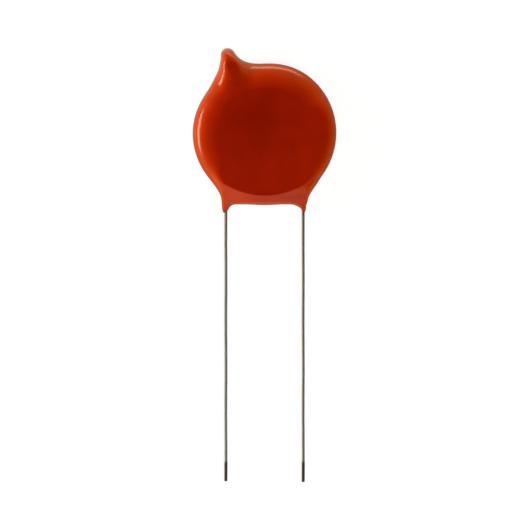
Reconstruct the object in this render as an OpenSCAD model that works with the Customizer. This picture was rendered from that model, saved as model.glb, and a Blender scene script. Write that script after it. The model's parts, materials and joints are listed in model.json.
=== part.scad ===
// Ceramic disc capacitor with two straight leads, dipped in resin.
// It lies on its back: +Z points out of its front face, the leads run towards -Y, and the
// origin is on the surface that it rests on, under the centre of the disc.

/* [Ceramic disc and electrodes] */
// Diameter of the ceramic disc
ceramic_d = 15; // [12.5:0.1:18]
// Thickness of the ceramic disc
ceramic_t = 1.8; // [1.2:0.1:2.4]
// Bare ceramic left round the edge of each silver electrode
electrode_margin = 0.5; // [0.3:0.1:1]
// Thickness of each fired silver electrode
electrode_t = 0.03; // [0.02:0.01:0.08]

/* [Leads] */
// Distance between the two leads, centre to centre
lead_pitch = 10; // [8:0.1:12]
// Diameter of the lead wire
lead_d = 0.4; // [0.35:0.05:0.5]
// Length of the left lead that stands clear of the coat
left_free_length = 34.75; // [4:0.25:45]
// Length of the right lead that stands clear of the coat
right_free_length = 34.85; // [4:0.25:45]
// How far the left lead's hidden end stands past the ceramic's rim
left_overrun = 2.67; // [2.2:0.01:3.4]
// Height of the right lead's hidden end above the disc's centre line
right_lead_top = 3; // [1:0.25:4]
// Bend radius of the step that brings each lead to the middle plane
lead_bend_r = 3; // [1:0.1:3.6]
// Straight wire between the ceramic's rim and the start of that step
lead_bend_gap = 0.4; // [0.2:0.1:1]

/* [Solder joints] */
// Solder between a lead and its electrode
solder_film = 0.04; // [0.02:0.01:0.1]
// Solder over the top of a lead, at the middle of the joint
solder_over = 0.11; // [0.05:0.01:0.2]
// Width of a joint, across the lead
solder_width = 1.8; // [1.4:0.1:2.2]
// Length of a joint, along the lead
solder_length = 7; // [4:0.25:8.5]

/* [Coat] */
// Resin over each electrode
face_cover = 1.07; // [0.8:0.01:1.4]
// Resin beyond the ceramic's rim
edge_cover = 1.8; // [1.2:0.05:2.4]
// Width of the rounded rim at the left, the far end and the nub, where the resin gathered
rim_w = 3.4; // [3:0.1:4.5]
// Width of the rim on the right
right_rim_w = 1.9; // [1.5:0.1:3]
// Width of the rim along the lower edge, where the resin ran thin
lower_rim_w = 1.4; // [1.3:0.05:2.6]
// Fullness of the rim's section on the right, where 2 is an ellipse and more is squarer
right_fullness = 3; // [2:0.1:3.4]
// Fullness at the far end and the lower edge, where 1 would be a flat chamfer
end_fullness = 1.6; // [1.5:0.1:2]
// How far the resin drew back from the outline on the right of the nub
right_drain = 0.32; // [0:0.01:0.5]
// How far the resin drew back from the outline on the left of the nub
left_drain = 0.15; // [0:0.01:0.4]

/* [Nub over the left lead's end] */
// Radius of the nub's tip
nub_tip_r = 0.83; // [0.7:0.01:1.1]
// Radius of the nub where it grows out of the body
nub_root_r = 1.8; // [1.4:0.05:2]
// Length of the nub from its root to its tip
nub_length = 3.17; // [2.4:0.01:3.8]
// How far the root sits from the lead, towards the middle
nub_root_offset = 1.1; // [0.5:0.05:1.6]
// How far the tip sits from the lead, towards the middle
nub_tip_offset = 0.22; // [0:0.01:0.4]

/* [Skirt and collars] */
// Radius of the skirt's lower edge
skirt_r = 0.65; // [0.5:0.05:0.9]
// Distance from each lead to the end of the skirt's straight edge
skirt_inset = 1.5; // [1:0.1:2.5]
// How far the resin runs down each lead below the body
run_down = 1; // [0.8:0.05:1.6]
// Resin left on the left lead at its collar's lower end
left_collar_film = 0.18; // [0.05:0.01:0.25]
// Resin left on the right lead at its collar's lower end
right_collar_film = 0.06; // [0.04:0.01:0.25]

/* [Hidden] */

coat_colour = [0.61, 0.16, 0.06];
ceramic_colour = [0.78, 0.72, 0.62];
silver_colour = [0.80, 0.80, 0.78];
solder_colour = [0.62, 0.63, 0.65];
wire_colour = [0.45, 0.45, 0.43];

front = 1;
back = -1;

ceramic_r = ceramic_d / 2;
electrode_r = ceramic_r - electrode_margin;
lead_r = lead_d / 2;
half_core = ceramic_t / 2 + electrode_t;         // from the middle plane to an electrode's face
half_t = half_core + face_cover;                 // from the middle plane to the coat's face
lead_rise = half_core + solder_film + lead_r;    // from the middle plane to a lead on its electrode

coat_r = ceramic_r + edge_cover;
coat_end = -(coat_r + run_down);                 // where the leads leave the coat
left_lead_top = ceramic_r + left_overrun;

// The step in each lead: two equal bends with a straight slope between them. A bend is no
// rounder than the step has room for.
bend_start = -(sqrt(pow(ceramic_r, 2) - pow(lead_pitch / 2, 2)) + lead_bend_gap);
step_run = bend_start - coat_end;
bend_room = (pow(step_run, 2) + pow(lead_rise, 2)) / (4 * lead_rise);
bend_r = min(lead_bend_r, 0.9 * bend_room);
centre_gap = norm([step_run, 2 * bend_r - lead_rise]);
bend_angle = asin(2 * bend_r / centre_gap) - atan2(2 * bend_r - lead_rise, step_run);
slope_length = sqrt(pow(centre_gap, 2) - pow(2 * bend_r, 2));
bend_thinning = 0.002;                           // a bent wire is this much thinner, in radius
bend_seat = 0.02;                                // how far a bend reaches into the straight wire

// A solder joint's top is arched both ways, a little less sharply along the lead.
solder_height = solder_film + lead_d + solder_over;
solder_arch = 1.1 * solder_height;

// The places where the resin drew back, as angles round the disc, and how far each spreads.
nub_angle = atan2(left_lead_top, lead_x(front));
right_drain_angle = nub_angle - 23;
right_drain_spread = 23;
left_drain_angle = nub_angle + 34;
left_drain_spread = 18;

// The places where the rim's section changes: the angle round the disc in the middle of each,
// how many degrees to each side of it the change is full, and how many to where it has faded.
right_side = [-15, 25, 52];
lower_side = [-90, 25, 62];
far_end = [90, 20, 48];
lower_end = [-90, 15, 35];

// The nub's axis, at its root in the body and at its tip over the lead's end.
nub_root = [lead_x(front) + nub_root_offset, left_lead_top - nub_length, 0.15];
nub_tip = [lead_x(front) + nub_tip_offset, left_lead_top, lead_rise - 0.35];

// The round collars start inside the skirt and narrow in a hollow curve, where a hollow of 1
// would be a plain cone.
collar_root = -(coat_r - 0.3);
collar_root_r = lead_r + 0.44;
collar_hollow = 1.6;

// The resin round the step in a lead follows it down, and ends inside the collar.
sheath_start = bend_start - 1.2;
sheath_start_z = 0.3 * lead_rise;
sheath_start_r = lead_r + 0.7;
sheath_end = coat_end + 0.9;
sheath_sink = 0.04;

// The resin's fillets: how far apart two forms start to run together. At the faces only a
// small share of that is left.
nub_fillet = 2;
skirt_fillet = 0.5;
sheath_fillet = 1.6;
face_share = 0.15;

// How finely the coat's skin is drawn, in degrees round the disc and in rows over its rim. The
// steps are fine near the nub and the collars.
coarse_step = 3.75;
fine_step = 1.25;
nub_span = 20;
collar_span = 12.5;
rim_rows = 12;
row_crowding = 1.35;                             // above 1 the rows lie closer near the middle
halvings = 24;
ring_inset = 0.5;                                // from the flat's edge to where the rays start

wire_sides = 48;
disc_sides = 180;
overlap = 1;                                     // how far a cutting block runs past what it cuts

function lead_x(side) = -side * lead_pitch / 2;

// Radius of the resin on a lead at a height y, from the collar's root to the coat's end.
function collar_end_r(side) = lead_r + (side == front ? left_collar_film : right_collar_film);
function collar_radius(side, y) =
    let (left = (y - coat_end) / (collar_root - coat_end))
    collar_end_r(side) + (collar_root_r - collar_end_r(side)) * pow(left, collar_hollow);

// ---- The coat's shape ----
// Each function gives roughly how far a point is from a form, negative inside it. The points
// are measured from the disc's centre.

// The smaller of two distances, run together smoothly where they are less than reach apart.
function blend(a, b, reach) =
    let (near = max(reach - abs(a - b), 0) / reach)
    min(a, b) - near * near * reach / 4;

// A round rod from a to b, with its own radius at each end.
function rod(p, a, b, ra, rb) =
    let (along = b - a, share = min(max((p - a) * along / (along * along), 0), 1))
    norm(p - a - share * along) - ra - (rb - ra) * share;

// How much the resin drew back at an angle, most at the middle of a drained place.
function drained(angle, depth, middle, spread) = depth * exp(-pow((angle - middle) / spread, 2));

// The outline's radius round the disc.
function outline_r(angle) =
    coat_r - drained(angle, right_drain, right_drain_angle, right_drain_spread)
           - drained(angle, left_drain, left_drain_angle, left_drain_spread);

// How much an angle belongs to a place: 1 where the change there is full, 0 where it has faded.
function within(place, angle) =
    let (share = (cos(angle - place[0]) - cos(place[2])) / (cos(place[1]) - cos(place[2])),
         kept = min(max(share, 0), 1))
    kept * kept * (3 - 2 * kept);

// The rim's width at an angle, wide at the left and far end, and narrower elsewhere.
function rim_width(angle) =
    let (width = rim_w + (lower_rim_w - rim_w) * within(lower_side, angle))
    width + (right_rim_w - width) * within(right_side, angle);

// The fullness of the rim's section at an angle, 2 for a plain ellipse.
function rim_fullness(angle) =
    let (fullness = 2 + (right_fullness - 2) * within(right_side, angle),
         at_end = max(within(far_end, angle), within(lower_end, angle)))
    fullness + (end_fullness - fullness) * at_end;

// The body: flat faces, and a rounded rim from there to the outline.
function body_form(p) =
    let (angle = atan2(p.y, p.x),
         width = rim_width(angle),
         fullness = rim_fullness(angle),
         out = max(norm([p.x, p.y]) - outline_r(angle) + width, 0) / width)
    half_t * (pow(pow(out, fullness) + pow(abs(p.z) / half_t, fullness), 1 / fullness) - 1);

// The nub that covers the left lead's end.
function nub_form(p) = rod(p, nub_root, nub_tip, nub_root_r, nub_tip_r);

// The skirt's straight lower edge, between the leads.
function skirt_form(p) =
    let (reach = lead_pitch / 2 - skirt_inset, y = skirt_r - coat_r)
    rod(p, [-reach, y, 0], [reach, y, 0], skirt_r, skirt_r);

// The resin round the step in one lead.
function sheath_form(p, side) =
    let (x = lead_x(side))
    rod(p, [x, sheath_start, side * sheath_start_z], [x, sheath_end, 0],
        sheath_start_r, collar_radius(side, sheath_end) - sheath_sink);

// All of it together. The fillets are wide at the edge and narrow at the faces, which stay flat.
function coat_form(p) =
    let (ease = max(face_share, 1 - pow(p.z / half_t, 2)),
         with_skirt = blend(body_form(p), skirt_form(p), skirt_fillet),
         with_left = blend(with_skirt, sheath_form(p, front), sheath_fillet * ease),
         with_right = blend(with_left, sheath_form(p, back), sheath_fillet * ease))
    blend(with_right, nub_form(p), nub_fillet * ease);

// How far along a ray from inside the coat its surface lies, found by halving.
function surface_distance(start, ray, near, far, steps) =
    let (middle = (near + far) / 2)
    steps == 0 ? middle
    : coat_form(start + middle * ray) < 0 ? surface_distance(start, ray, middle, far, steps - 1)
    : surface_distance(start, ray, near, middle, steps - 1);

// ---- Sub-parts ----

module from_middle_plane() {
    translate([0, 0, half_t]) children();
}

// Puts what is built for the front on the front or the back.
module on_side(side) {
    mirror([0, 0, side == front ? 0 : 1]) children();
}

// Whether a point lies within a span of an angle, both seen from the disc's centre.
function is_near(angle, x, y, span) = abs(angle - atan2(y, x)) < span;

// The step from one angle to the next, round the skin.
function skin_step(angle) =
    is_near(angle, nub_tip.x, nub_tip.y, nub_span)
    || is_near(angle, lead_x(front), coat_end, collar_span)
    || is_near(angle, lead_x(back), coat_end, collar_span) ? fine_step : coarse_step;

// The coat without its collars: rays from a ring inside the body meet its surface.
module coat_skin() {
    ring_r = coat_r - rim_w - ring_inset;
    reach = 2 * rim_w + nub_length + run_down;
    angles = [for (angle = -180; angle < 179.9; angle = angle + skin_step(angle)) angle];
    tilts = [for (row = [rim_rows:-1:-rim_rows])
        90 * sign(row) * pow(abs(row) / rim_rows, row_crowding)];
    count = len(angles);
    last = len(tilts) - 1;
    points = [for (tilt = tilts) for (angle = angles)
        let (outward = [cos(angle), sin(angle), 0],
             start = ring_r * outward,
             ray = cos(tilt) * outward + [0, 0, sin(tilt)])
        abs(tilt) == 90 ? start + half_t * ray
        : start + surface_distance(start, ray, 0, reach, halvings) * ray];
    front_face = [for (i = [count - 1:-1:0]) i];
    back_face = [for (i = [0:count - 1]) last * count + i];
    sides = [for (row = [0:last - 1]) for (i = [0:count - 1])
        let (next = (i + 1) % count, here = row * count, below = here + count)
        each [[here + i, here + next, below + next], [here + i, below + next, below + i]]];
    polyhedron(points, [front_face, back_face, each sides]);
}

// The resin that ran down one lead, round and hollow-curved.
module collar(side) {
    segments = 8;
    length = collar_root - coat_end;
    profile = [for (i = [0:segments])
        let (down = length * i / segments)
        [collar_radius(side, collar_root - down), down]];
    translate([lead_x(side), collar_root, 0]) rotate([90, 0, 0])
        rotate_extrude($fn = wire_sides)
            polygon([[0, 0], each profile, [0, length]]);
}

module coating() {
    color(coat_colour) from_middle_plane() difference() {
        union() {
            coat_skin();
            collar(front);
            collar(back);
        }
        ceramic_form();
        for (side = [front, back]) {
            electrode_form(side);
            solder_mound(side);
        }
        lead_form(front, left_lead_top, left_free_length);
        lead_form(back, right_lead_top, right_free_length);
    }
}

module ceramic_form() {
    cylinder(h = ceramic_t, r = ceramic_r, center = true, $fn = disc_sides);
}

module electrode_form(side) {
    on_side(side) translate([0, 0, ceramic_t / 2])
        cylinder(h = electrode_t, r = electrode_r, $fn = disc_sides);
}

// One lead, from its end over the disc to its tip. The step sits between the disc and the coat's end.
module lead_form(side, top, free_length) {
    slope_start = [bend_start - bend_r * sin(bend_angle), lead_rise - bend_r * (1 - cos(bend_angle))];
    on_side(side) translate([lead_x(side), 0, 0]) {
        wire([top, lead_rise], 0, top - bend_start);
        wire_bend([bend_start, lead_rise - bend_r], 90);
        wire(slope_start, bend_angle, slope_length);
        wire_bend([coat_end, bend_r], 270);
        wire([coat_end, 0], 0, free_length);
    }
}

// A straight stretch of wire that starts at [y, z] and runs towards -Y, leaning down by an angle.
module wire(start, lean, length) {
    translate([0, start[0], start[1]]) rotate([90 + lean, 0, 0])
        cylinder(h = length, r = lead_r, $fn = wire_sides);
}

// A bend in the YZ plane about a centre at [y, z], from the given angle on. Its ends sit a
// little way inside the straight wire.
module wire_bend(centre, start_angle) {
    seat = bend_seat / bend_r * 180 / PI;
    translate([0, centre[0], centre[1]]) rotate([90, 0, 90]) rotate([0, 0, start_angle - seat])
        rotate_extrude(angle = bend_angle + 2 * seat, $fn = disc_sides)
            translate([bend_r, 0]) circle(r = lead_r - bend_thinning, $fn = wire_sides);
}

// The radius of an arc from its width and its height.
function arch_r(width, height) = (pow(width / 2, 2) + pow(height, 2)) / (2 * height);

// A solder joint before the lead is taken out of it: arched both ways, and only on the silver.
module solder_mound(side) {
    across_r = arch_r(solder_width, solder_height);
    along_r = arch_r(solder_length, solder_arch);
    on_side(side) translate([0, 0, half_core]) intersection() {
        translate([lead_x(side), 0, solder_height - across_r]) rotate([90, 0, 0])
            cylinder(h = solder_length + overlap, r = across_r, center = true, $fn = disc_sides);
        translate([lead_x(side), 0, solder_arch - along_r]) rotate([0, 90, 0])
            cylinder(h = solder_width + overlap, r = along_r, center = true, $fn = 4 * disc_sides);
        cylinder(h = solder_height + overlap, r = electrode_r, $fn = disc_sides);
    }
}

module ceramic_disc() {
    color(ceramic_colour) from_middle_plane() ceramic_form();
}

module electrode_front() {
    color(silver_colour) from_middle_plane() electrode_form(front);
}

module electrode_back() {
    color(silver_colour) from_middle_plane() electrode_form(back);
}

module solder_front() {
    color(solder_colour) from_middle_plane() difference() {
        solder_mound(front);
        lead_form(front, left_lead_top, left_free_length);
    }
}

module solder_back() {
    color(solder_colour) from_middle_plane() difference() {
        solder_mound(back);
        lead_form(back, right_lead_top, right_free_length);
    }
}

module lead_left() {
    color(wire_colour) from_middle_plane() lead_form(front, left_lead_top, left_free_length);
}

module lead_right() {
    color(wire_colour) from_middle_plane() lead_form(back, right_lead_top, right_free_length);
}

coating();
ceramic_disc();
electrode_front();
electrode_back();
solder_front();
solder_back();
lead_left();
lead_right();
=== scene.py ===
# %% [markdown]
# # A dipped ceramic disc capacitor
# This lesson dresses a small electronic part: a ceramic disc with two wire leads, dipped in
# orange-red resin. The construction is already there as a fixed frame, with every piece at its
# real size. What is left is the looks. We make a smooth, flowing mesh of the resin coat, drawn
# wire with cut ends, and a material for each piece, down to the ones sealed inside.

import json
import math

import bpy
import numpy as np
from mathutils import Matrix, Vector


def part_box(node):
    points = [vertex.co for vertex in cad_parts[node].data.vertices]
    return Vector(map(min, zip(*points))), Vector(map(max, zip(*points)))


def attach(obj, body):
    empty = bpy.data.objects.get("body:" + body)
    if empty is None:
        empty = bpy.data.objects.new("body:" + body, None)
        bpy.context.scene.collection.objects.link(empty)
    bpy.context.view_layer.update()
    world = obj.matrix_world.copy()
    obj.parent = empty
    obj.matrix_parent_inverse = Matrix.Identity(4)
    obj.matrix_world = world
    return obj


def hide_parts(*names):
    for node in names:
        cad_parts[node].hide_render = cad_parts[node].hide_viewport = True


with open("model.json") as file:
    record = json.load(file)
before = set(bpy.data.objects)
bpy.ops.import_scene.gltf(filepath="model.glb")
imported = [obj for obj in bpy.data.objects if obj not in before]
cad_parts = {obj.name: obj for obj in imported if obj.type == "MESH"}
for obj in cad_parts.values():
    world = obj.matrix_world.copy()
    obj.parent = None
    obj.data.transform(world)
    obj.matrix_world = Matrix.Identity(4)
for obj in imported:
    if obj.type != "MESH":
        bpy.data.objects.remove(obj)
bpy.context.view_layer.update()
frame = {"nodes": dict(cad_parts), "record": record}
record = frame["record"]
mounts = {mount["name"]: mount for mount in record["mounts"]}
MM = 0.001
print("pieces in the frame:", ", ".join(sorted(frame["nodes"])))


# %% [markdown]
# Every size comes from the frame, so that the new meshes sit exactly where the plain ones do.
# The frame is in metres. A part this small is easier to think about in millimetres, so the
# sizes are turned into millimetres here, and meshes are scaled back when they are made. The
# middle plane of the disc is halfway up the coat, and the shapes are measured from it.

# %% Read the sizes
def box_mm(node):
    """The lowest and highest corner of a piece, in millimetres."""
    low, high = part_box(node)
    return np.array(low) / MM, np.array(high) / MM


coat_low, coat_high = box_mm("coating")
left_low, left_high = box_mm("lead_left")
right_low, right_high = box_mm("lead_right")

coat_r = coat_high[0]
middle_z = coat_high[2] / 2
half_t = middle_z
ceramic_r = box_mm("ceramic_disc")[1][0]
lead_r = mounts["lead_pair"]["dims"]["stud_r_mm"]
lead_pitch = mounts["lead_pair"]["dims"]["spacing_x_mm"]
lead_x = {"left": -lead_pitch / 2, "right": lead_pitch / 2}
lead_side = {"left": 1, "right": -1}
lead_top = {"left": left_high[1], "right": right_high[1]}
lead_tip = {"left": left_low[1], "right": right_low[1]}
lead_rise = left_high[2] - middle_z - lead_r
coat_end = coat_low[1]
print(f"coat {2 * coat_r:.2f} mm across and {2 * half_t:.2f} mm thick, wire {2 * lead_r:.2f} mm")


# %% [markdown]
# The same few jobs come up again and again: turning a colour given for the screen into the
# linear values that the renderer mixes with, adding a node to a material, and making an object
# from points and faces. Each gets one small helper.

# %% Small helpers
def linear(hex_colour):
    """An sRGB hex colour as linear red, green, blue and alpha."""
    channels = [int(hex_colour[i:i + 2], 16) / 255 for i in (1, 3, 5)]
    return [c / 12.92 if c <= 0.04045 else ((c + 0.055) / 1.055) ** 2.4
            for c in channels] + [1.0]


def add_node(tree, kind, settings=None, **inputs):
    """Adds a node with its settings, and fills or links inputs by name, or _2 for number 2."""
    node = tree.nodes.new(kind)
    for name, value in (settings or {}).items():
        setattr(node, name, value)
    for name, value in inputs.items():
        numbered = name[0] == "_" and name[1:].isdigit()
        key = int(name[1:]) if numbered else name.replace("_", " ")
        if isinstance(value, bpy.types.NodeSocket):
            tree.links.new(value, node.inputs[key])
        else:
            node.inputs[key].default_value = value
    return node


def new_material(name):
    """An empty material with a Principled shader on its output."""
    material = bpy.data.materials.new(name)
    material.use_nodes = True
    tree = material.node_tree
    tree.nodes.clear()
    shader = tree.nodes.new("ShaderNodeBsdfPrincipled")
    output = tree.nodes.new("ShaderNodeOutputMaterial")
    tree.links.new(shader.outputs["BSDF"], output.inputs["Surface"])
    print(f"material: {name}")
    return material, tree, shader


def mesh_object(name, points, faces):
    """A smooth mesh object from points in millimetres, measured from the middle plane."""
    mesh = bpy.data.meshes.new(name)
    mesh.from_pydata((np.asarray(points) + [0, 0, middle_z]) * MM, [], faces)
    mesh.validate()
    mesh.shade_smooth()
    piece = bpy.data.objects.new(name, mesh)
    bpy.context.scene.collection.objects.link(piece)
    print(f"{name}: {len(mesh.vertices)} points, {len(mesh.polygons)} faces")
    return piece


# %% [markdown]
# ## The camera
# The part lies on its back and the camera looks straight down on it. A long lens from far away
# keeps the picture almost free of perspective, so the round body stays round and the leads stay
# parallel. The picture is 68.4 mm wide at the part, and its middle is some way down the leads.

# %% Place the camera
picture_width = 68.39
picture_middle_y = -17.03
lens = 200
camera_data = bpy.data.cameras.new("camera")
camera_data.lens = lens
camera_distance = picture_width * lens / camera_data.sensor_width
camera = bpy.data.objects.new("camera", camera_data)
bpy.context.scene.collection.objects.link(camera)
camera.location = Vector((0, picture_middle_y, middle_z + camera_distance)) * MM
camera_data.clip_start = 0.01
camera_data.clip_end = 10
bpy.context.scene.camera = camera
print(f"the camera is {camera_distance:.0f} mm above the part")


# %% [markdown]
# ## The light
# A glossy part shows its surroundings, so lighting it means building what it reflects. Small
# shiny parts are shot in a light tent: pale walls all round, and a dark opening overhead that
# the camera looks through. The dark opening is what keeps the flat face deep red. A warm,
# low softbox on the left draws the thin bright arc along the left shoulder, a second one beyond
# the part lights the far rim, and a wide weak one on the near side gives the web its sheen.
#
# The world is the tent. Its brightness follows the height that a ray points at: bright low
# down, dimmer above, and almost dark overhead. It is brightest towards the left
# and slightly beyond the part, and dimmest on the right.

# %% Build the tent
lit_way = (-0.95, 0.3, 0)
wall_light = {"dim": 0.15, "lit": 1.15}

scene = bpy.context.scene
scene.view_settings.view_transform = "Standard"
world = bpy.data.worlds.new("light_tent")
scene.world = world
world.use_nodes = True
tent = world.node_tree
tent.nodes.clear()
direction = add_node(tent, "ShaderNodeTexCoord")
parts = add_node(tent, "ShaderNodeSeparateXYZ", _0=direction.outputs["Generated"])
walls = add_node(tent, "ShaderNodeValToRGB", _0=parts.outputs["Z"])
walls.color_ramp.elements[0].position = 0.0
walls.color_ramp.elements[0].color = linear("#C2A88A")
walls.color_ramp.elements[1].position = 0.75
walls.color_ramp.elements[1].color = linear("#060606")
for position, grey in ((0.32, "#9C907E"), (0.60, "#303030")):
    walls.color_ramp.elements.new(position).color = linear(grey)
lit_side = add_node(tent, "ShaderNodeVectorMath", {"operation": "DOT_PRODUCT"},
                    _0=direction.outputs["Generated"], _1=lit_way)
side_light = add_node(tent, "ShaderNodeMapRange", _0=lit_side.outputs["Value"],
                      _1=-1, _2=1, _3=wall_light["dim"], _4=wall_light["lit"])
tent_light = add_node(tent, "ShaderNodeBackground", Color=walls.outputs["Color"],
                      Strength=side_light.outputs[0])
add_node(tent, "ShaderNodeOutputWorld", Surface=tent_light.outputs["Background"])
print(f"the tent's walls shine {wall_light['dim']} to {wall_light['lit']} times their colour")


# %% [markdown]
# Each softbox is an area lamp that points at the part. Its place is given as on a lighting
# plan: which way round, how high, and how far off. Its strength is given as the light it throws
# on a card that faces it, where 1 makes a white card white.
#
# The panel overhead would shine straight back from the flat face and wash out its red, so it
# is cross-polarised, as studios do with glossy goods: it lights the resin but gives no shine. In
# Blender that is a lamp that glossy rays don't see. Multiple importance sampling is off for it
# too, because it lets a little of the shine back in.

# %% Hang the softboxes
def softbox(name, turn, elevation, distance, size, colour, light, shines=True):
    """An area lamp at a turn and elevation in degrees round the part, with sizes in millimetres."""
    data = bpy.data.lights.new(name, "AREA")
    data.shape = "ELLIPSE"
    data.size = size[0] * MM
    data.size_y = size[1] * MM
    data.color = linear(colour)[:3]
    data.energy = light * (math.pi * distance * MM) ** 2
    lamp = bpy.data.objects.new(name, data)
    bpy.context.scene.collection.objects.link(lamp)
    round_about = math.radians(turn)
    up = math.radians(elevation)
    away = Vector((math.cos(round_about) * math.cos(up), math.sin(round_about) * math.cos(up),
                   math.sin(up)))
    lamp.location = away * distance * MM
    lamp.rotation_euler = away.to_track_quat("Z", "Y").to_euler()
    lamp.visible_camera = False
    lamp.visible_glossy = shines
    data.cycles.use_multiple_importance_sampling = shines
    print(f"{name}: {data.energy:.2f} W from {turn} degrees round and {elevation} up")
    return lamp


softbox("left_softbox", turn=176, elevation=19, distance=300, size=(215, 72),
        colour="#FFD2A5", light=0.56)
softbox("far_softbox", turn=90, elevation=4, distance=300, size=(320, 52),
        colour="#FFD8AC", light=0.36)
softbox("near_softbox", turn=254, elevation=42, distance=300, size=(440, 150),
        colour="#FFEADC", light=0.14)
softbox("overhead_panel", turn=-60, elevation=81, distance=600, size=(350, 350),
        colour="#FFFFFF", light=0.62, shines=False)


# %% [markdown]
# The floor is plain white board. The camera sees it as white, which an even glow on its rays
# gives, while the board's own surface still takes the soft shadow of the part.
#
# The steep sides of the part mirror the board too. What they mirror is set apart from what the
# camera sees: a warm glow on the side of the left and far lamps, a pale one below the wires, and
# hardly any on the right. That gives the steep left and far sides their sheen and keeps the right
# side dark. Neither glow is stronger than 1, which is white, though they add up where they
# overlap. Only mirror rays see them, so they show in the resin's gloss and on the wires, which
# are rough mirrors, and add nothing to the resin's own colour.

# %% Lay the floor
camera_glow = 0.8
lamp_way = (-0.6, 0.8, 0)
pool_edge = (6 * MM, 14 * MM)
pool_light = (0.12, 1.0)
wires_edge = (-11 * MM, -17 * MM)
wires_light = (0.0, 0.8)


def white_board():
    """White board that keeps a faint shadow."""
    material = bpy.data.materials.new("white_board")
    material.use_nodes = True
    tree = material.node_tree
    tree.nodes.clear()
    rays = add_node(tree, "ShaderNodeLightPath")
    spot = add_node(tree, "ShaderNodeNewGeometry").outputs["Position"]
    towards_lamps = add_node(tree, "ShaderNodeVectorMath", {"operation": "DOT_PRODUCT"},
                             _0=spot, _1=lamp_way)
    pool = add_node(tree, "ShaderNodeMapRange", _0=towards_lamps.outputs["Value"],
                    _1=pool_edge[0], _2=pool_edge[1], _3=pool_light[0], _4=pool_light[1])
    along = add_node(tree, "ShaderNodeSeparateXYZ", _0=spot)
    by_wires = add_node(tree, "ShaderNodeMapRange", _0=along.outputs["Y"],
                        _1=wires_edge[0], _2=wires_edge[1], _3=wires_light[0], _4=wires_light[1])
    mirror_ray = add_node(tree, "ShaderNodeMath", {"operation": "MAXIMUM"},
                          _0=rays.outputs["Is Glossy Ray"], _1=rays.outputs["Is Transmission Ray"])
    seen = add_node(tree, "ShaderNodeMath", {"operation": "MULTIPLY"},
                    _0=rays.outputs["Is Camera Ray"], _1=camera_glow)
    surface = add_node(tree, "ShaderNodeBsdfDiffuse", Color=linear("#959595"))
    glow = add_node(tree, "ShaderNodeEmission", Strength=seen.outputs[0])
    surface = add_node(tree, "ShaderNodeAddShader", _0=surface.outputs[0], _1=glow.outputs[0])
    for colour, light in (("#FFDDB0", pool), ("#F4F8FF", by_wires)):
        mirrored = add_node(tree, "ShaderNodeMath", {"operation": "MULTIPLY"},
                            _0=mirror_ray.outputs[0], _1=light.outputs[0])
        glow = add_node(tree, "ShaderNodeEmission", Color=linear(colour),
                        Strength=mirrored.outputs[0])
        surface = add_node(tree, "ShaderNodeAddShader", _0=surface.outputs[0], _1=glow.outputs[0])
    add_node(tree, "ShaderNodeOutputMaterial", Surface=surface.outputs[0])
    return material


floor_half = 1.5
floor_mesh = bpy.data.meshes.new("floor")
floor_corners = [(floor_half * i, floor_half * j, 0)
                 for i, j in ((-1, -1), (1, -1), (1, 1), (-1, 1))]
floor_mesh.from_pydata(floor_corners, [], [(0, 1, 2, 3)])
floor = bpy.data.objects.new("floor", floor_mesh)
scene.collection.objects.link(floor)
floor.data.materials.append(white_board())
print(f"the floor is {2 * floor_half:.0f} m across")


# %% [markdown]
# ## The resin coat
# The real coat is made by dipping. The resin runs, fills every corner with a soft fillet, pulls
# into a web between the disc and the leads, and drains down the wires. It has no edges at all,
# so it would be slow to model by pushing points about.
#
# Instead we describe it with a few round forms and let them flow together. Each form is a
# function that says how far a point is from its surface, and is negative inside. The smaller of
# two such distances joins two forms. Rounding that choice off where they are nearly equal makes
# the fillet that surface tension makes in the real resin.

# %% Forms that flow together
def flow(a, b, reach):
    """The smaller of two distances, run together where they are less than reach apart."""
    near = np.maximum(reach - np.abs(a - b), 0) / reach
    return np.minimum(a, b) - near * near * reach / 4


def rod(p, a, b, ra, rb):
    """A round rod from a to b, with its own radius at each end. It works flat or in space."""
    along = np.subtract(b, a)
    offset = [p[i] - a[i] for i in range(len(along))]
    share = np.clip(sum(o * d for o, d in zip(offset, along)) / (along @ along), 0, 1)
    gap = np.sqrt(sum((o - share * d) ** 2 for o, d in zip(offset, along)))
    return gap - ra - (rb - ra) * share


# %% [markdown]
# Seen from above the body is a circle with a nub, where the resin ran over the end of the left
# lead. On each side of the nub the resin drew back a little, and a wide fillet joins the two.
# At the other end a web of resin hangs between the leads, and runs on down each of them as a
# collar. So we begin with the flat outline of it all, as a distance that is negative inside it.

# %% The nub's outline
box_clearance = 0.01
# Where the resin drained, the nub's offsets and root radius and its fillet were solved together
# by a fitting program and then rounded. They aren't worked out from the frame.
drains = ((95.5, 24.8, 0.34), (147.5, 18.8, 0.14))
nub_root = (lead_x["left"] + 0.755, lead_top["left"] - 2.38)
nub_tip = (lead_x["left"] + 0.207, lead_top["left"])
nub_root_r = 0.90
nub_tip_r = coat_high[1] - nub_tip[1] - 0.03
nub_reach = 3.35


def disc_gap(x, y):
    """How far a place is from the drained circle with its nub."""
    angle = np.degrees(np.arctan2(y, x))
    radius = coat_r - sum(depth * np.exp(-((angle - middle) / spread) ** 2)
                          for middle, spread, depth in drains)
    nub = rod((x, y), nub_root, nub_tip, nub_root_r, nub_tip_r)
    return flow(np.hypot(x, y) - radius, nub, nub_reach)


print(f"the nub ends about {nub_tip[1] + nub_tip_r - coat_r:.2f} mm beyond the round body")


# %% The web and the collars
def smooth(share):
    """A soft step that rises from 0 to 1 as share does."""
    share = np.clip(share, 0, 1)
    return share * share * (3 - 2 * share)


web_low = -(coat_r - 0.024)
web_reach = 0.30
web_corner = 0.6
collar_side_w = 0.8
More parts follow.
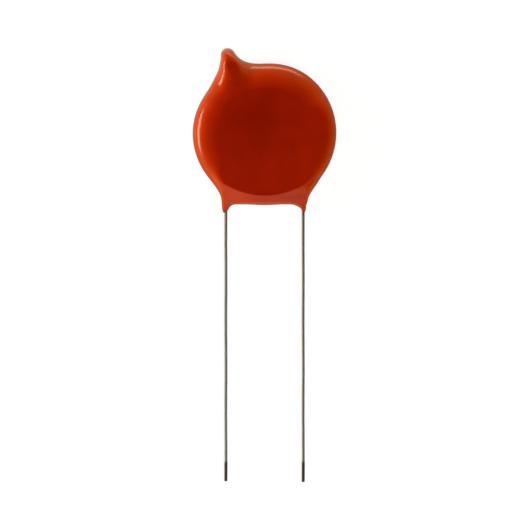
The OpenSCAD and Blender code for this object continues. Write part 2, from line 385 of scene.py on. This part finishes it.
# The two tables below give a collar's middle line and its radius at each height in collar_y.
# They and the fillets came from a fitting program, rounded, with the lowest few of them
# changed. They are data, and not a formula for how resin drains.
collar_y = (-10.8, -10.24, -9.84, -9.40, -8.85, -8.40, -8.00, -7.40, -6.60)
collar_x = {"left": (-5.06, -5.06, -4.95, -4.85, -4.85, -4.85, -4.85, -4.85, -4.85),
            "right": (5.00, 5.02, 5.05, 4.86, 4.95, 4.96, 4.96, 4.96, 4.96)}
collar_r = {"left": (0.20, 0.25, 0.32, 0.35, 0.41, 0.52, 0.59, 0.62, 0.71),
            "right": (0.17, 0.19, 0.17, 0.26, 0.43, 0.60, 0.75, 0.93, 1.20)}
collar_fillets = {"left": (0.77, 1.64), "right": (1.29, 1.42)}
collar_softness = 0.6


def collar_gap(x, y, side):
    """How far a place is from a collar, with no crease along the collar's middle line."""
    middle = np.interp(y, collar_y, collar_x[side])
    r = np.interp(y, collar_y, collar_r[side])
    return np.hypot(x - middle, collar_softness * r) - r * math.hypot(1, collar_softness)


def outline_gap(x, y):
    """How far a place is from the whole outline, seen from above."""
    web = -flow(np.minimum(y - web_low, -y), lead_pitch / 2 - np.abs(x), web_corner)
    gap = flow(disc_gap(x, y), web, web_reach)
    outer_side = smooth((np.abs(x) - lead_pitch / 2) / collar_side_w + 0.5)
    for side, (inner, outer) in collar_fillets.items():
        collar = np.maximum(collar_gap(x, y, side), y - collar_y[-1])
        gap = flow(gap, collar, inner + (outer - inner) * outer_side)
    return gap + box_clearance


print(f"the web's lower edge is at y {web_low:.2f} mm, and the collars end at {coat_end:.2f} mm")


# %% [markdown]
# From the outline inwards the surface rises through a rounded rim and then runs flat. The rim
# isn't the same all round. At the left and the far end it is wide, because the resin gathered
# there. At the right it is narrow and square-shouldered, and it is narrow along the lower edge
# too, where the resin ran thin. Between the left and the lower edge the shoulder is a little
# fuller than round. A superellipse covers all of these: its power is 2 for a plain round
# shoulder, more for a fuller or square one, and less for one that is cut off like a chamfer.

# %% The rim
rim_w = {"left": 3.4, "right": 1.9, "lower": 1.9}
rim_power = {"round": 2.0, "drained": 2.3, "square": 3.0, "chamfer": 1.6}


def facing(x, y, turn, full, none):
    """1 where a place lies in the direction turn, within full degrees of it, and 0 beyond none."""
    way = math.radians(turn)
    never_zero = 1e-9
    towards = (x * math.cos(way) + y * math.sin(way)) / (np.hypot(x, y) + never_zero)
    highest, lowest = (math.cos(math.radians(angle)) for angle in (full, none))
    return smooth((towards - lowest) / (highest - lowest))


def rim_shape(x, y):
    """How wide the rim is in a direction, and the power of its shoulder."""
    lower = facing(x, y, -90, 30, 72)
    drained = facing(x, y, -148, 12, 40)
    right = facing(x, y, -15, 25, 52)
    far = facing(x, y, 90, 20, 48)
    width = rim_w["left"] + (rim_w["lower"] - rim_w["left"]) * lower
    width = width + (rim_w["right"] - width) * right
    power = rim_power["round"] + (rim_power["drained"] - rim_power["round"]) * drained
    power = power + (rim_power["square"] - power) * right
    return width, power + (rim_power["chamfer"] - power) * far


for place, x, y in (("left", -1, 0), ("right", 1, 0), ("far", 0, 1)):
    print("{} rim: {:.1f} mm wide, power {:.1f}".format(place, *rim_shape(x, y)))


# %% [markdown]
# The nub has its own shape. Its sides get steeper towards its end, where the resin is drawn tight
# over the lead, and its top bends down to the tip in one long arc. Underneath it is thinner than
# the disc, because the lead runs on the front. A straight ridge over the buried lead runs up
# into it.
#
# The web is thinner than the disc too. Just below the ceramic's rim, along a line that bows a
# little, it starts to slope towards the middle plane. It levels out again near the ends of the
# collars, and its edge gets sharper on the way.

# %% The body
nub_rim_w = {"root": 2.1, "end": 0.85, "right_flank": 0.62}
nub_core = 0.7
nub_fade = 2.5
nub_steepens = {"from": 6.0, "over": 3.2}
nub_flank_over = 1.3
nub_arc_start = 8.7
nub_arc_r = 2.45
nub_arc_share = 0.98
nub_hollow = 1.1
nub_hollows = {"from": 6.8, "over": 3.6}
ridge_start = (lead_x["left"] + 0.12, 4.0, lead_rise - 0.60)
ridge_end = (nub_tip[0], nub_tip[1] - 1.5, lead_rise - 0.36)
ridge_r = {"start": 0.78, "end": 0.72}
ridge_reach = 0.6
web_bow = 0.25
web_start = 8.03
web_start_bend = 0.25
web_slope = 0.56
web_levels = 10.9
web_levels_bend = 1.0
web_sharpens = {"from": 7.9, "over": 1.6}
web_rim_w = {"start": 0.95, "end": 0.28}


def bend(distance, length):
    """A line that is level before 0, and climbs 1 in 1 once it is length beyond 0."""
    return np.clip(distance, 0, length) ** 2 / (2 * length) + np.maximum(distance - length, 0)


def body(p):
    """The whole body: flat faces, the rim, the nub, the web and the collars."""
    x, y, z = p
    rim, power = rim_shape(x, y)
    nub_near = 1 - smooth((rod((x, y), nub_root, nub_tip, 0, 0) - nub_core) / nub_fade)
    to_end = smooth((y - nub_steepens["from"]) / nub_steepens["over"])
    right_flank = smooth((x - nub_tip[0]) / nub_flank_over)
    end_w = nub_rim_w["end"] + (nub_rim_w["right_flank"] - nub_rim_w["end"]) * right_flank
    rim = rim + (nub_rim_w["root"] + (end_w - nub_rim_w["root"]) * to_end - rim) * nub_near
    power = power + (rim_power["round"] - power) * nub_near
    arc = np.clip(y - nub_arc_start, 0, nub_arc_share * nub_arc_r)
    top = half_t - nub_near * (nub_arc_r - np.sqrt(nub_arc_r ** 2 - arc ** 2))
    hollowed = smooth((y - nub_hollows["from"]) / nub_hollows["over"])
    bottom = -half_t + nub_near * nub_hollow * hollowed

    web_near = facing(x, y, -90, 28, 60)
    down = np.hypot(x, y) - web_bow * (2 * x / lead_pitch) ** 2
    thinned = web_slope * (bend(down - web_start, web_start_bend)
                           - bend(down - web_levels, web_levels_bend))
    sharpened = smooth((down - web_sharpens["from"]) / web_sharpens["over"])
    sharper = (web_rim_w["start"] - web_rim_w["end"]) * sharpened
    rim = rim + (web_rim_w["start"] - sharper - rim) * web_near

    height = (top - bottom) / 2 - thinned * web_near
    out = np.maximum(1 + outline_gap(x, y) / rim, 0)
    level = np.abs(z - (top + bottom) / 2) / height
    disc = height * ((out ** power + level ** power) ** (1 / power) - 1)
    ridge = rod(p, ridge_start, ridge_end, ridge_r["start"], ridge_r["end"])
    return flow(disc, ridge, ridge_reach)


print(f"the web thins from {web_start:.2f} mm out, by {web_slope} mm a side for each mm")


# %% [markdown]
# The lower end of a collar is where the last drop of resin dried on the wire. It reaches lower
# on the outer side, and a few small waves break up its edge.

# %% Ragged collar ends
collar_lip = {"left": 0.16, "right": 0.10}
collar_lift = {"left": 0.10, "right": 0.06}
collar_waves = {"three": 0.035, "five": 0.02}


def below_collars(p):
    """How far a point is below the ragged lower edge of the resin."""
    right = p[0] > 0
    turn = np.arctan2(p[2], np.abs(p[0]) - lead_pitch / 2)
    edge = (coat_end + np.where(right, collar_lift["right"], collar_lift["left"])
            - np.where(right, collar_lip["right"], collar_lip["left"]) * np.cos(turn)
            + collar_waves["three"] * np.sin(3 * turn + 1)
            + collar_waves["five"] * np.sin(5 * turn))
    return edge - p[1]


for side, lip in collar_lip.items():
    print(f"{side} collar: its end reaches about {2 * lip:.2f} mm lower on the outer side")


# %% [markdown]
# All of it together is the coat. The real faces aren't perfect: the resin shrank a little as it
# set, so each face is dished by a few hundredths of a millimetre, and long shallow waves run
# over it.

# %% The whole coat
dish_depth = 0.05
dish_r = 4.5
wave_depth = 0.012
lip_reach = 0.16


def ripples(p):
    """Long shallow waves in the resin, a few millimetres from crest to crest."""
    return (np.sin(1.1 * p[0] + 0.6 * p[1] + 2 * p[2]) + np.sin(0.7 * p[0] - 1.3 * p[1] + 1.7)
            + np.sin(1.9 * p[0] + 1.6 * p[1] - 2.2 * p[2] + 0.4)) / 3


def coat(p):
    """How far a point is from the coat's surface, roughly, and negative inside."""
    level = (p[2] / half_t) ** 2
    resin = -flow(-body(p), -below_collars(p), lip_reach)
    dish = dish_depth * np.exp(-(p[0] ** 2 + p[1] ** 2) / dish_r ** 2)
    return resin + (dish + wave_depth * (1 + ripples(p))) * level


print(f"dish {dish_depth} mm deep, waves up to {2 * wave_depth} mm")


# %% [markdown]
# To get a mesh from the forms we lay a fine grid over the part and mark which of its corners
# are in resin. Every small cube with corners both in and out gets one point, and every grid line
# that passes from in to out gets one face between the four cubes round it. That gives even,
# square faces everywhere. Each point is then pulled onto the true surface, so nothing of the
# grid's steps is left.

# %% From forms to a mesh
def grid_skin(form, low, high, step):
    """Points and four-sided faces round a form, one point for each grid cube that it crosses."""
    axes = [np.arange(low[i], high[i] + step, step) for i in range(3)]
    inside = form(np.meshgrid(*axes, indexing="ij", sparse=False)) < 0
    corners = np.zeros(np.subtract(inside.shape, 1), int)
    for i in (0, 1):
        for j in (0, 1):
            for k in (0, 1):
                shifted = inside[i:, j:, k:]
                corners += shifted[:corners.shape[0], :corners.shape[1], :corners.shape[2]]
    crossed = (corners > 0) & (corners < 8)
    number = np.full(corners.shape, -1)
    number[crossed] = np.arange(crossed.sum())
    points = np.array(low) + (np.argwhere(crossed) + 0.5) * step
    faces = []
    for axis in range(3):
        here = [slice(1, n - 1) for n in inside.shape]
        beyond = list(here)
        beyond[axis] = slice(2, inside.shape[axis])
        leaves = inside[tuple(here)] & ~inside[tuple(beyond)]
        enters = ~inside[tuple(here)] & inside[tuple(beyond)]
        back_b = np.eye(3, dtype=int)[(axis + 1) % 3]
        back_c = np.eye(3, dtype=int)[(axis + 2) % 3]
        for places, order in ((leaves, (0, 1, 2, 3)), (enters, (3, 2, 1, 0))):
            cell = np.argwhere(places) + 1
            ring = [cell, cell - back_b, cell - back_b - back_c, cell - back_c]
            faces.append(np.stack([number[tuple(ring[i].T)] for i in order], axis=1))
    return points, np.concatenate(faces)


def slopes(form, points, reach=0.01):
    """The direction and steepness in which a form grows, at each point."""
    rows = []
    for i in range(3):
        shift = np.zeros(3)
        shift[i] = reach
        rows.append((form((points + shift).T) - form((points - shift).T)) / (2 * reach))
    return np.array(rows).T


def settle(form, points, rounds, flattest=0.05, longest=0.2):
    """Pulls points onto a form's surface."""
    for _ in range(rounds):
        uphill = slopes(form, points)
        step = form(points.T) / np.maximum((uphill ** 2).sum(1), flattest)
        points = points - uphill * np.clip(step, -longest, longest)[:, None]
    return points


def even_out(points, faces):
    """Moves each point to the middle of its neighbours."""
    total = np.zeros_like(points)
    count = np.zeros(len(points))
    for i in range(4):
        for j in (1, 3):
            np.add.at(total, faces[:, i], points[faces[:, (i + j) % 4]])
            np.add.at(count, faces[:, i], 1)
    return total / count[:, None]


# %% Make the coat's mesh
skin_step = 0.10
margin = 3 * skin_step
lip_room = 0.3
skin_low = np.array([-coat_r, coat_end - lip_room, -half_t]) - margin
skin_high = np.array([coat_r, coat_high[1], half_t]) + margin
coat_points, coat_faces = grid_skin(coat, skin_low, skin_high, skin_step)
coat_points = settle(coat, coat_points, 3)
for _ in range(2):
    coat_points = settle(coat, even_out(coat_points, coat_faces), 2)
resin_coat = mesh_object("resin_coat", coat_points, coat_faces.tolist())


# %% [markdown]
# The resin lies thick on the flats, where it is a deep red, and thin over the shoulders, where
# more of the pale ceramic glows through and it looks more orange. The colour is also painted
# lighter and more orange the steeper the surface is, as painted sheen: the slopes are given in
# their colour the light that they catch from the side. On the face the colour is deepest a little
# above the middle and grows more orange towards the lower right. It is a shade more orange below
# the nub, and a shade deeper across the web from the middle to the right, which tones down the
# painted sheen on the web's slope. To let the material know all this, the mesh carries one number
# at each point, from 0 for the deep red of the flats to 1 for thin resin and painted sheen.

# %% Mark where the resin is thin and where sheen is painted
deepest_red = (-1.0, 2.2)
pales_over = 7
pales_by = 0.06
pales_power = 1.5
lean_slope = 0.6
lean_over = 9
lean_least = -0.3
lean_by = 0.03
nub_patch = {"x": -4, "y": 7.4, "size": 2.5, "pales_by": 0.06}
web_patch = {"y": -8.35, "size": 0.5, "left_end": -4, "fade": 4, "deepens_by": 0.11}


def thinness_and_sheen(points):
    """Thin resin and painted sheen: mostly from how steep the surface is, a little from its place.
    """
    x, y = points[:, 0], points[:, 1]
    # Steeper surfaces get more orange: thin resin over the shoulders, and painted sheen.
    uphill = slopes(coat, points)
    upright = np.abs(uphill[:, 2]) / np.linalg.norm(uphill, axis=1)
    tilt = np.degrees(np.arccos(np.clip(upright, 0, 1)))
    # More orange away from a point a little above the middle, and towards the lower right.
    from_deepest_red = np.hypot(x - deepest_red[0], y - deepest_red[1])
    sidewards = x - lean_slope * y
    place = (np.clip(from_deepest_red / pales_over, 0, 1) ** pales_power * pales_by
             + np.clip(sidewards / lean_over, lean_least, 1) * lean_by)
    # A shade more orange below the nub.
    from_nub = (x - nub_patch["x"]) ** 2 + (y - nub_patch["y"]) ** 2
    by_nub = nub_patch["pales_by"] * np.exp(-from_nub / nub_patch["size"] ** 2)
    # Deeper red across the web, from the middle to the right: tones down the painted sheen there.
    across_web = np.exp(-((y - web_patch["y"]) / web_patch["size"]) ** 2)
    along_web = smooth((x - web_patch["left_end"]) / web_patch["fade"])
    on_web = web_patch["deepens_by"] * across_web * along_web
    return np.clip(tilt / 90 + place + by_nub - on_web, 0, 1)


thin_and_sheen = thinness_and_sheen(coat_points)
mark = resin_coat.data.attributes.new("thinness_and_sheen", "FLOAT", "POINT")
mark.data.foreach_set("value", thin_and_sheen.astype(np.float32))
print(f"thinness from {thin_and_sheen.min():.3f} to {thin_and_sheen.max():.3f}, median {np.median(thin_and_sheen):.3f}")


# %% [markdown]
# ## The leads
# The leads are copper-clad wire, drawn through a die, tinned, and cut off with side cutters.
# Each runs down over its silvered face, steps to the middle plane inside the web, and comes
# out straight. The mesh is a ring of points swept along that path.

# %% The path of a lead
bend_clearance = 0.4
bend_r_limit = 3
bend_share = 0.9
bend_start = -(math.sqrt(ceramic_r ** 2 - (lead_pitch / 2) ** 2) + bend_clearance)
step_run = bend_start - coat_end
bend_r = min(bend_r_limit, bend_share * (step_run ** 2 + lead_rise ** 2) / (4 * lead_rise))
centre_gap = math.hypot(step_run, 2 * bend_r - lead_rise)
bend_angle = math.asin(2 * bend_r / centre_gap) - math.atan2(2 * bend_r - lead_rise, step_run)
before_bend = 0.2
below_coat = 0.3
before_cut = 0.25
ring_counts = {"lead_in": 12, "bend": 7, "free": 110}


def lead_path(side):
    """Points down one lead as (y, height, lean), from its hidden end to its cut end."""
    lead_in = [(y, lead_rise, 0.0) for y in
               np.linspace(lead_top[side], bend_start + before_bend, ring_counts["lead_in"])]
    first = [(bend_start - bend_r * math.sin(a), lead_rise - bend_r * (1 - math.cos(a)), a)
             for a in np.linspace(0, bend_angle, ring_counts["bend"])]
    second = [(coat_end + bend_r * math.sin(a), bend_r * (1 - math.cos(a)), a)
              for a in np.linspace(bend_angle, 0, ring_counts["bend"])]
    free = [(y, 0.0, 0.0) for y in
            np.linspace(coat_end - below_coat, lead_tip[side] + before_cut, ring_counts["free"])]
    return lead_in + first + second + free


print(f"each lead steps {lead_rise:.2f} mm over, with bends of {bend_r:.2f} mm radius")


# %% [markdown]
# Drawn wire is never quite straight or quite even, so the free stretch wanders by a hundredth of
# a millimetre. Its last two and a half millimetres were dipped in flux and solder and are a
# touch thicker. The side cutters pinched the very end into a low wedge.

# %% Sweep the wire
wire_sides = 28
wire_clearance = 0.004
tinned_length = 2.6
tinned_film = 0.012
film_edge = 0.12
wander_size = 0.012
wander_per_mm = 0.55
wander_fade = 4
cut_end = ((0.12, 0.97, 1.0), (0.05, 0.86, 0.98), (0.015, 0.62, 0.92), (0.0, 0.30, 0.80))


def wire_piece(side):
    """One lead as a swept mesh."""
    tip_y = lead_tip[side]
    rings = []
    for y, height, wire_lean in lead_path(side):
        dipped = 1 / (1 + math.exp((y - tip_y - tinned_length) / film_edge))
        radius = lead_r + tinned_film * dipped - wire_clearance
        freed = min(1, max(0, coat_end - y) / wander_fade)
        wander = wander_size * math.sin(wander_per_mm * (y - coat_end)) * freed
        rings.append((y, height, wire_lean, radius, radius, wander))
    for gap, flat, wide in cut_end:
        rings.append((tip_y + gap, 0.0, 0.0, lead_r * wide, lead_r * flat, 0.0))
    points = []
    for y, height, wire_lean, wide, flat, wander in rings:
        for turn in np.linspace(0, 2 * math.pi, wire_sides, endpoint=False):
            up = flat * math.sin(turn)
            points.append((lead_x[side] + wander + wide * math.cos(turn),
                           y + up * math.sin(wire_lean),
                           lead_side[side] * (height + up * math.cos(wire_lean))))
    faces = []
    for ring in range(len(rings) - 1):
        for i in range(wire_sides):
            j = (i + 1) % wire_sides
            quad = [ring * wire_sides + i, ring * wire_sides + j,
                    (ring + 1) * wire_sides + j, (ring + 1) * wire_sides + i]
            faces.append(quad if lead_side[side] > 0 else quad[::-1])
    first_cap = list(range(wire_sides))[::-1]
    last_cap = [(len(rings) - 1) * wire_sides + i for i in range(wire_sides)]
    faces += [first_cap, last_cap] if lead_side[side] > 0 else [first_cap[::-1], last_cap[::-1]]
    return mesh_object(f"{side}_wire", points, faces)


wires = {side: wire_piece(side) for side in ("left", "right")}


# %% [markdown]
# ## Materials
# Each material starts from what the real one is, how it was made, and what that gives the eye.
#
# **Dipped epoxy resin.** A pigmented resin, dipped, drained and cured. It flows out to a gloss
# like wet paint, with a faint orange peel. The pigment isn't perfectly even, which gives soft
# patches a few millimetres wide. Where it ends on a wire it is thin and scorched by the cure,
# so the lower lip of each collar is brown.

# %% Dipped epoxy resin
def per_mm(size_mm):
    """The scale of a pattern whose marks are so many millimetres wide, for points in metres."""
    return 1 / (size_mm * MM)


# Deep red on the flats to orange on the steep sides: the orange is thin resin and painted sheen.
resin_shades = ((0.0, "#8B1401"), (0.04, "#941902"), (0.11, "#9D1C02"), (0.20, "#A72302"),
                (0.28, "#B62C03"), (0.37, "#C23804"), (0.50, "#CA4206"), (0.70, "#CE490A"))
scorch_edge = (coat_end + 0.45, coat_end - 0.05)


def dipped_resin():
    """Glossy red-orange resin, brown at the collars' ends."""
    material, tree, shader = new_material("dipped_epoxy_resin")
    spot = add_node(tree, "ShaderNodeNewGeometry").outputs["Position"]
    thin_and_sheen_place = add_node(tree, "ShaderNodeAttribute", {"attribute_name": "thinness_and_sheen"})

    # The ramp paints the steep sides lighter and more orange: thin resin and painted sheen.
    depth = add_node(tree, "ShaderNodeValToRGB", _0=thin_and_sheen_place.outputs["Fac"])
    ramp = depth.color_ramp
    ramp.elements[0].position, thick_colour = resin_shades[0]
    ramp.elements[1].position, thin_and_sheen_colour = resin_shades[-1]
    ramp.elements[0].color = linear(thick_colour)
    ramp.elements[1].color = linear(thin_and_sheen_colour)
    for position, colour in resin_shades[1:-1]:
        ramp.elements.new(position).color = linear(colour)

    patches = add_node(tree, "ShaderNodeTexNoise", Vector=spot, Scale=per_mm(3.0),
                       Detail=2.0, Roughness=0.5)
    patch_shade = add_node(tree, "ShaderNodeMapRange", _0=patches.outputs["Fac"],
                           _1=0.3, _2=0.7, _3=0.93, _4=1.07)
    patched = add_node(tree, "ShaderNodeHueSaturation", Value=patch_shade.outputs[0],
                       Color=depth.outputs["Color"])

    fine = add_node(tree, "ShaderNodeTexNoise", Vector=spot, Scale=per_mm(0.18), Detail=1.0)
    fine_shade = add_node(tree, "ShaderNodeMapRange", _0=fine.outputs["Fac"],
                          _1=0.3, _2=0.7, _3=0.97, _4=1.03)
    pigment = add_node(tree, "ShaderNodeHueSaturation", Value=fine_shade.outputs[0],
                       Color=patched.outputs["Color"])

    along = add_node(tree, "ShaderNodeSeparateXYZ", _0=spot)
    scorch = add_node(tree, "ShaderNodeMapRange", {"interpolation_type": "SMOOTHSTEP"},
                      _0=along.outputs["Y"], _1=scorch_edge[0] * MM, _2=scorch_edge[1] * MM,
                      _3=0.0, _4=0.75)
    scorched = add_node(tree, "ShaderNodeMix", {"data_type": "RGBA"}, Factor=scorch.outputs[0],
                        _6=pigment.outputs["Color"], _7=linear("#4A2A1E"))
    tree.links.new(scorched.outputs[2], shader.inputs["Base Color"])

    shader.inputs["IOR"].default_value = 1.5
    shader.inputs["Specular IOR Level"].default_value = 0.42
    haze = add_node(tree, "ShaderNodeMapRange", _0=patches.outputs["Fac"],
                    _1=0.3, _2=0.7, _3=0.14, _4=0.19)
    tree.links.new(haze.outputs[0], shader.inputs["Roughness"])

    peel = add_node(tree, "ShaderNodeTexNoise", Vector=spot, Scale=per_mm(0.9), Detail=1.0)
    bump = add_node(tree, "ShaderNodeBump", Height=peel.outputs["Fac"],
                    Strength=0.25, Distance=0.02 * MM)
    tree.links.new(bump.outputs["Normal"], shader.inputs["Normal"])
    return material


# %% [markdown]
# ** Tinned wire.** Tin over copper-clad steel, drawn to size. It is a soft grey metal with fine
# lines along its length from the die, dulled here and there by handling. The lines are finer
# than this view can show one by one. The dipped end is darker and a little olive.

# %% Tinned wire
def tinned_wire():
    """Dull grey drawn wire with a darker dipped end."""
    material, tree, shader = new_material("tinned_drawn_wire")
    spot = add_node(tree, "ShaderNodeNewGeometry").outputs["Position"]
    stretched = add_node(tree, "ShaderNodeMapping", Vector=spot, Scale=(1.0, 0.04, 1.0))
    lines = add_node(tree, "ShaderNodeTexNoise", Vector=stretched.outputs[0],
                     Scale=per_mm(0.05), Detail=2.0)
    dull = add_node(tree, "ShaderNodeTexNoise", Vector=spot, Scale=per_mm(1.2), Detail=3.0)
    tin = add_node(tree, "ShaderNodeMix", {"data_type": "RGBA"}, Factor=dull.outputs["Fac"],
                   _6=linear("#BACACE"), _7=linear("#D0DCDF"))
    along = add_node(tree, "ShaderNodeSeparateXYZ", _0=spot)
    film_y = lead_tip["left"] + tinned_length
    dipped = add_node(tree, "ShaderNodeMapRange", {"interpolation_type": "SMOOTHSTEP"},
                      _0=along.outputs["Y"], _1=(film_y + 0.2) * MM, _2=(film_y - 0.4) * MM,
                      _3=0.0, _4=0.8)
    coloured = add_node(tree, "ShaderNodeMix", {"data_type": "RGBA"}, Factor=dipped.outputs[0],
                        _6=tin.outputs[2], _7=linear("#5C5D52"))
    tree.links.new(coloured.outputs[2], shader.inputs["Base Color"])
    shader.inputs["Metallic"].default_value = 1.0
    rough = add_node(tree, "ShaderNodeMapRange", _0=lines.outputs["Fac"],
                     _1=0.3, _2=0.7, _3=0.72, _4=0.86)
    tree.links.new(rough.outputs[0], shader.inputs["Roughness"])
    bump = add_node(tree, "ShaderNodeBump", Height=lines.outputs["Fac"],
                    Strength=0.4, Distance=0.004 * MM)
    tree.links.new(bump.outputs["Normal"], shader.inputs["Normal"])
    return material


# %% [markdown]
# The other three are sealed inside the coat, and show only if the part is taken apart.
# **Sintered ceramic** is a barium titanate body, pressed and fired: pale tan, matt, with a fine
# grain. **Fired silver** is printed as a paste and fired on: white, matt, with the mesh of the
# screen faintly in it. **Soft solder** froze in a smooth satin mound with a few coarse grains.

# %% Sintered ceramic, fired silver and soft solder
def sintered_ceramic():
    """Pale tan, matt and finely grained."""
    material, tree, shader = new_material("sintered_ceramic")
    spot = add_node(tree, "ShaderNodeNewGeometry").outputs["Position"]
    grain = add_node(tree, "ShaderNodeTexNoise", Vector=spot, Scale=per_mm(0.12), Detail=4.0)
    body_colour = add_node(tree, "ShaderNodeMix", {"data_type": "RGBA"},
                           Factor=grain.outputs["Fac"],
                           _6=linear("#C2AE8C"), _7=linear("#D8C9AC"))
    tree.links.new(body_colour.outputs[2], shader.inputs["Base Color"])
    shader.inputs["Roughness"].default_value = 0.75
    bump = add_node(tree, "ShaderNodeBump", Height=grain.outputs["Fac"],
                    Strength=0.3, Distance=0.01 * MM)
    tree.links.new(bump.outputs["Normal"], shader.inputs["Normal"])
    return material


def fired_silver():
    """White, matt silver with the screen's mesh in it."""
    material, tree, shader = new_material("fired_silver")
    spot = add_node(tree, "ShaderNodeNewGeometry").outputs["Position"]
    weave = add_node(tree, "ShaderNodeTexVoronoi", Vector=spot, Scale=per_mm(0.15))
    bump = add_node(tree, "ShaderNodeBump", Height=weave.outputs["Distance"],
                    Strength=0.3, Distance=0.004 * MM)
    tree.links.new(bump.outputs["Normal"], shader.inputs["Normal"])
    shader.inputs["Base Color"].default_value = linear("#D9D8D2")
    shader.inputs["Metallic"].default_value = 1.0
    rough = add_node(tree, "ShaderNodeMapRange", _0=weave.outputs["Distance"],
                     _1=0.0, _2=0.6, _3=0.45, _4=0.6)
    tree.links.new(rough.outputs[0], shader.inputs["Roughness"])
    return material


def soft_solder():
    """A satin grey mound with coarse grains."""
    material, tree, shader = new_material("soft_solder")
    spot = add_node(tree, "ShaderNodeNewGeometry").outputs["Position"]
    grains = add_node(tree, "ShaderNodeTexVoronoi", Vector=spot, Scale=per_mm(0.35))
    rough = add_node(tree, "ShaderNodeMapRange", _0=grains.outputs["Distance"],
                     _1=0.0, _2=0.7, _3=0.25, _4=0.45)
    tree.links.new(rough.outputs[0], shader.inputs["Roughness"])
    bump = add_node(tree, "ShaderNodeBump", Height=grains.outputs["Distance"],
                    Strength=0.3, Distance=0.01 * MM)
    tree.links.new(bump.outputs["Normal"], shader.inputs["Normal"])
    shader.inputs["Base Color"].default_value = linear("#B4B6B8")
    shader.inputs["Metallic"].default_value = 1.0
    return material


# %% [markdown]
# ## Put it together
# The new coat and wires take the place of the plain ones and ride on the same body. The pieces
# inside keep their shapes and get their materials.

# %% Hand out the materials
wire_finish = tinned_wire()
silver_finish = fired_silver()
solder_finish = soft_solder()
resin_coat.data.materials.append(dipped_resin())
for side, wire in wires.items():
    wire.data.materials.append(wire_finish)
inner_finishes = {"ceramic_disc": sintered_ceramic(), "electrode_front": silver_finish,
                  "electrode_back": silver_finish, "solder_front": solder_finish,
                  "solder_back": solder_finish}
for node, finish in inner_finishes.items():
    piece = frame["nodes"][node]
    piece.data.materials.clear()
    piece.data.materials.append(finish)
print("finished:", ", ".join(sorted(inner_finishes)))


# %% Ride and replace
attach(resin_coat, "root")
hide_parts("coating")
for side, wire in wires.items():
    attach(wire, "root")
    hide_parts(f"lead_{side}")
